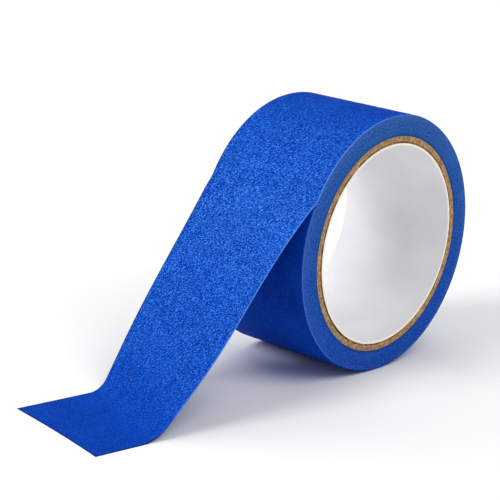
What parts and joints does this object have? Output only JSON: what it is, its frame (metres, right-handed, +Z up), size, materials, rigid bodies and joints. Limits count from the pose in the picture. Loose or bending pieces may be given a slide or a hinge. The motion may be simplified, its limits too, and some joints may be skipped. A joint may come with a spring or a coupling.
{
  "type": "masking tape roll",
  "caption": "Roll of crepe masking tape on a paper-lined board core, standing on its rim, with its free end sloping down to the table and lying along it.",
  "frame": {"origin": "on the axis of the core's bore, half way across the tape's width", "axes": "+Y along the axis of the bore; +Z up as the roll stands on its rim; +X away from the free end, which lies towards -X"},
  "size_m": [0.1922, 0.0521, 0.098],
  "materials": {
    "liner_paper": "matte",
    "kraft_board": "matte",
    "crepe_paper": "matte",
    "adhesive": "satin"
  },
  "bodies": {
    "roll": {"core_liner": "liner_paper", "core_board_ply_1": "kraft_board", "core_board_ply_2": "kraft_board", "core_board_ply_3": "kraft_board", "core_board_ply_4": "kraft_board", "wound_tape": "crepe_paper"},
    "strip": {"strip_backing": "crepe_paper", "strip_adhesive": "adhesive"},
    "tail": {"tail_backing": "crepe_paper", "tail_adhesive": "adhesive"}
  },
  "joints": [
    {"name": "roll_turn", "type": "hinge", "parent": "roll", "child": "strip", "pos_m": [0, 0, 0], "axis": [0, 1, 0], "continuous": true},
    {"name": "tail_flex", "type": "hinge", "parent": "strip", "child": "tail", "pos_m": [-0.10935, -0.00188, -0.04771], "axis": [0.3591, 0.9332, -0.0099], "range_deg": [0, 60], "stiffness_Nm_per_rad": 0.0005}
  ]
}
